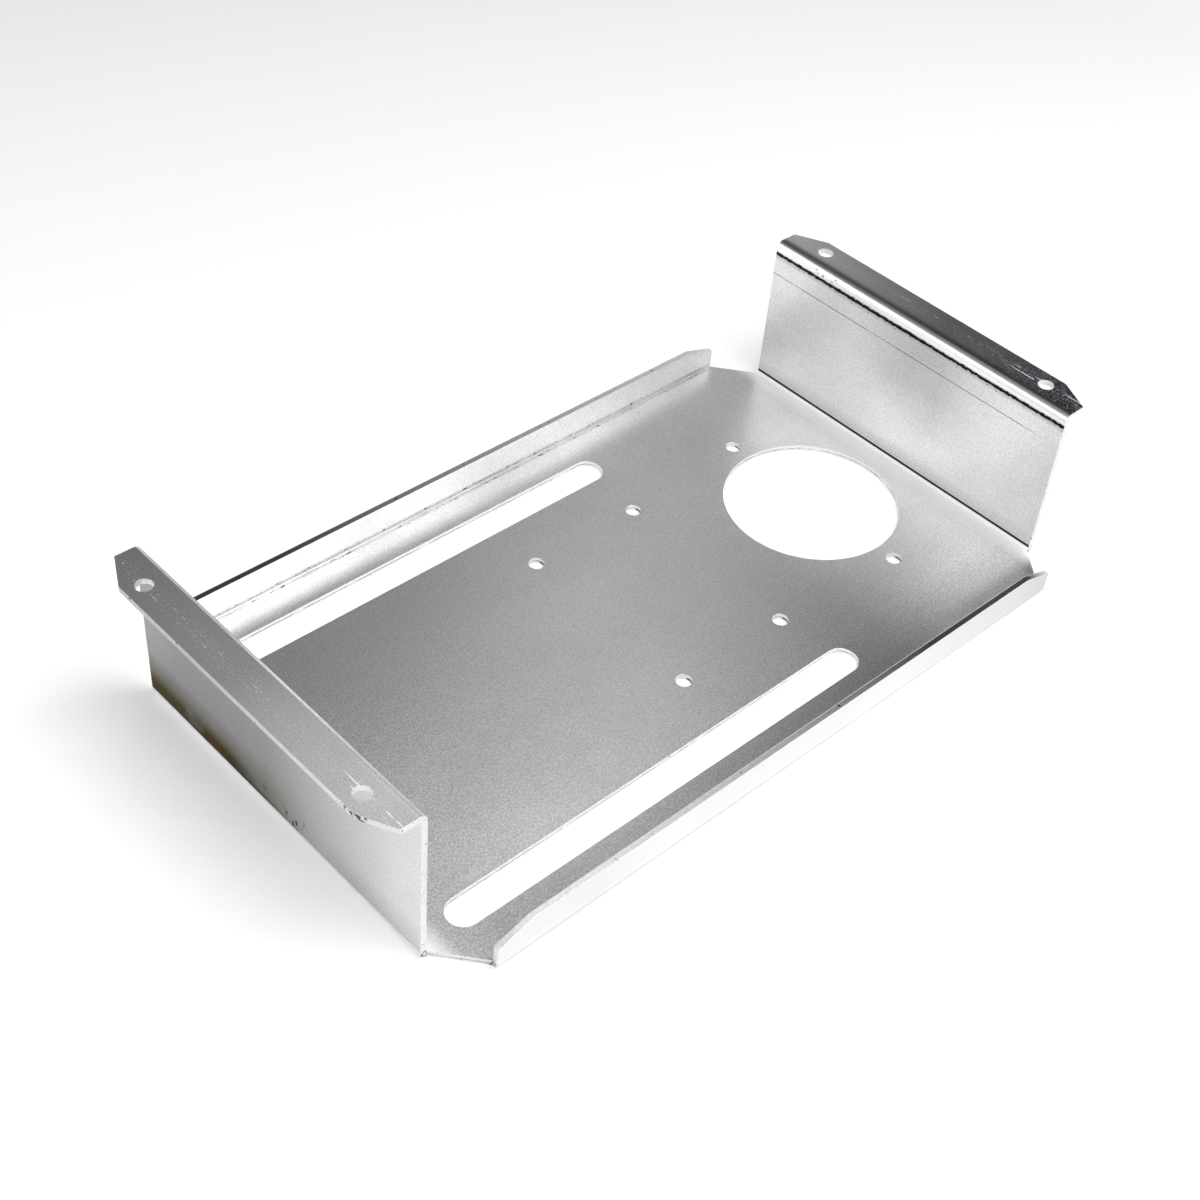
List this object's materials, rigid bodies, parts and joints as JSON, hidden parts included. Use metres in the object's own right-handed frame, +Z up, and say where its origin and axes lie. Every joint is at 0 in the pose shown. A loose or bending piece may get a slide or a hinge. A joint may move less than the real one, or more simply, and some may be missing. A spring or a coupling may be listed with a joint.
{
  "type": "fuse block bracket",
  "caption": "Folded sheet steel tray bracket with low side lips, a cable hole, long slots and outward mounting flanges on raised end walls.",
  "frame": {"origin": "on the underside of the base plate, under the middle of the whole bracket", "axes": "+X runs along the bracket towards the end wall beside the cable hole, +Y runs across it towards a side lip, +Z is up out of the tray"},
  "size_m": [0.2776, 0.152, 0.056],
  "materials": {
    "zinc_plated_sheet": "bright zinc plated, fine rolled grain, light handling scratches"
  },
  "bodies": {
    "root": {"bracket": "zinc_plated_sheet"}
  },
  "joints": []
}
